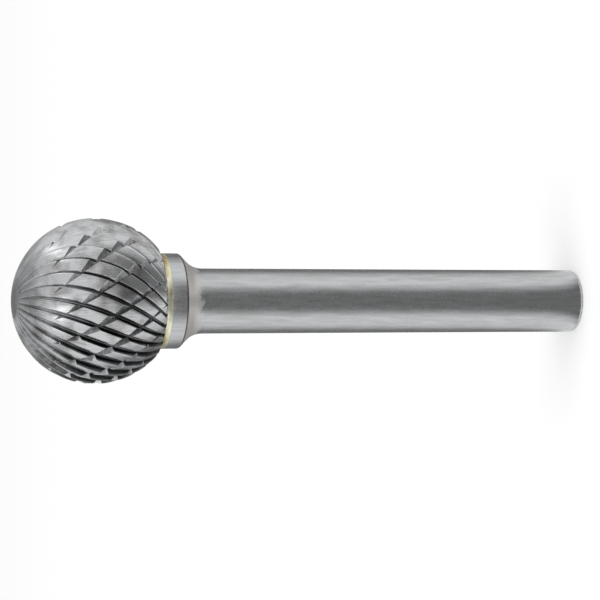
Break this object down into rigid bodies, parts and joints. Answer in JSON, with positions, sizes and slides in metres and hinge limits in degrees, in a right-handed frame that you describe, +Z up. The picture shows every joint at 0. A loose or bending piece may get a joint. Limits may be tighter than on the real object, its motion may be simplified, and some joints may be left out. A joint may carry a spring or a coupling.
{
  "type": "carbide burr",
  "caption": "Ball-shaped rotary burr with crossed cutting flutes, a braze joint, a collar and a straight steel shank.",
  "frame": {"origin": "the middle of the tail's end, on the ground, as the burr stands on the end of its shank", "axes": "+Z up along the burr's own axis, from the tail of the shank to the tip of the ball; +X and +Y across it"},
  "size_m": [0.0158, 0.0158, 0.058],
  "materials": {
    "ground_carbide": "ground and fluted tungsten carbide, satin on the teeth, matt at the tip",
    "silver_braze": "pale yellow silver brazing alloy, as it flowed, satin",
    "ground_steel": "turned and ground tool steel, satin, with a matt blasted neck"
  },
  "bodies": {
    "root": {"carbide_head": "ground_carbide", "braze_joint": "silver_braze", "steel_shank": "ground_steel"}
  },
  "joints": []
}
